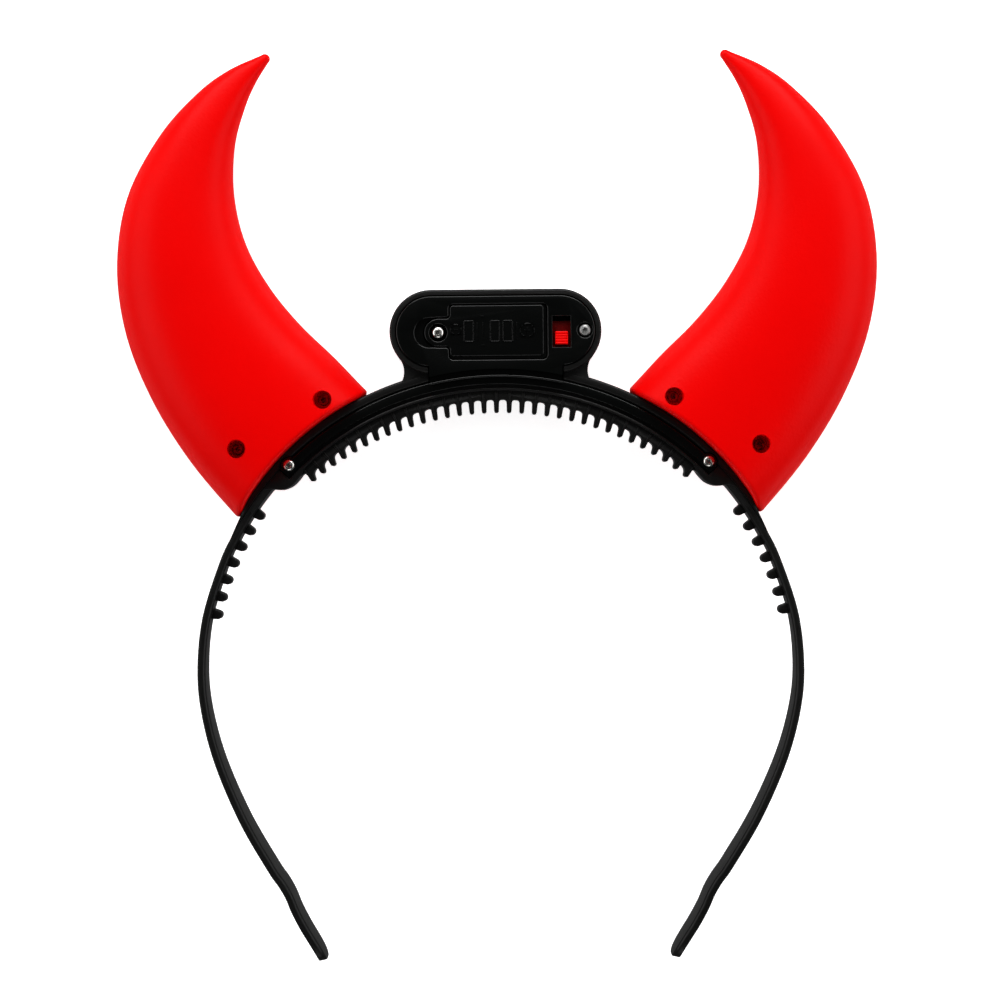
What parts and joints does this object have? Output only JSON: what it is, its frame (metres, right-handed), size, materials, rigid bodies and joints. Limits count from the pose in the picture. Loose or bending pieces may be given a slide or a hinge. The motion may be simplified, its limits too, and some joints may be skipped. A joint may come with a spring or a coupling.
{
  "type": "light-up devil horns headband",
  "caption": "Black plastic headband with a comb under its arch, two hollow red devil horns, and a round-ended battery housing with a slide switch and a screwed door.",
  "frame": {"origin": "centre of the bounding box's lowest face, with the headband lying on its front", "axes": "+X to the wearer's right hand side of the picture, +Y from the arms' tips to the horns' tips, +Z from the front up to the back, where the battery door and the switch are"},
  "size_m": [0.1818, 0.217, 0.023],
  "materials": {
    "black_plastic": "satin black moulded plastic",
    "red_plastic": "satin saturated red moulded plastic",
    "screw_steel": "bright nickel-plated steel"
  },
  "bodies": {
    "band": {"headband": "black_plastic", "back_cover": "black_plastic", "battery_door": "black_plastic", "horn_left_back": "red_plastic", "horn_left_front": "red_plastic", "horn_right_back": "red_plastic", "horn_right_front": "red_plastic", "horn_screw_left_lower": "screw_steel", "horn_screw_left_upper": "screw_steel", "horn_screw_right_lower": "screw_steel", "horn_screw_right_upper": "screw_steel", "cover_screw_left": "screw_steel", "cover_screw_right": "screw_steel", "cover_screw_housing": "screw_steel", "door_screw": "screw_steel"},
    "switch": {"switch_button": "red_plastic"}
  },
  "joints": [
    {"name": "switch_slide", "type": "slide", "parent": "band", "child": "switch", "axis": [0, 1, 0], "range_m": [0, 0.003]}
  ]
}
